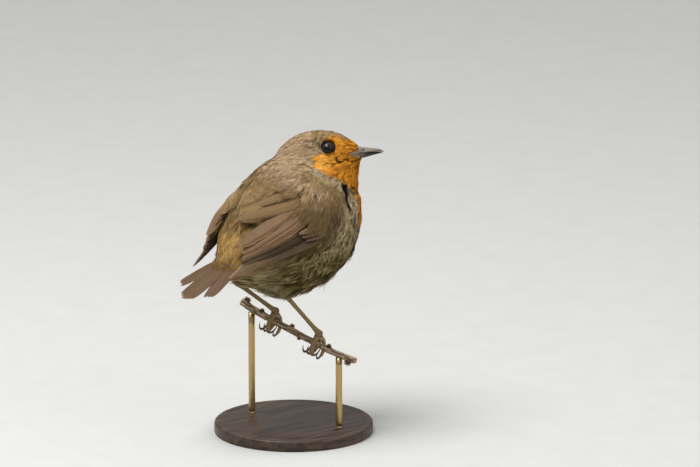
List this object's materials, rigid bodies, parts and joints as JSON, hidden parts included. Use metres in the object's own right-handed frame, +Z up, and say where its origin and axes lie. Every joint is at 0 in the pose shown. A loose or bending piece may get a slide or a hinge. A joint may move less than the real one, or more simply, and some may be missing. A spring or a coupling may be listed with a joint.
{
  "type": "european robin on a perch",
  "caption": "Life-size european robin at rest with its head turned, gripping a short cut length of twig that a flat round base holds up on two thin rods.",
  "frame": {"origin": "centre of the stand base's underside", "axes": "+X the way the bird's body faces, +Y towards its left side, +Z up; the head is turned to its right"},
  "size_m": [0.0987, 0.072, 0.1396],
  "materials": {
    "plumage_brown": "soft brown and olive feathers",
    "plumage_orange": "soft orange feathers",
    "flight_feather": "close, faintly glossy feather vanes",
    "horn": "satin horn",
    "eye": "wet and glossy",
    "leg": "smooth scaled skin",
    "claw": "satin horn",
    "bark": "rough fissured bark",
    "stand_wood": "dark satin lacquer",
    "stand_brass": "brushed"
  },
  "bodies": {
    "root": {"head": "plumage_orange", "neck": "plumage_brown", "trunk": "plumage_brown", "bill_upper": "horn", "bill_lower": "horn", "eye_left": "eye", "eye_right": "eye", "wing_left_shoulder": "plumage_brown", "wing_left_secondaries": "flight_feather", "wing_left_primaries": "flight_feather", "wing_right_shoulder": "plumage_brown", "wing_right_secondaries": "flight_feather", "wing_right_primaries": "flight_feather", "tail": "flight_feather", "thigh_left": "plumage_brown", "thigh_right": "plumage_brown", "shank_left": "leg", "shank_right": "leg", "foot_left": "leg", "foot_right": "leg", "claw_left_1": "claw", "claw_left_2": "claw", "claw_left_3": "claw", "claw_left_4": "claw", "claw_right_1": "claw", "claw_right_2": "claw", "claw_right_3": "claw", "claw_right_4": "claw", "perch_twig": "bark", "stand_base": "stand_wood", "stand_rod_left": "stand_brass", "stand_rod_right": "stand_brass"}
  },
  "joints": []
}
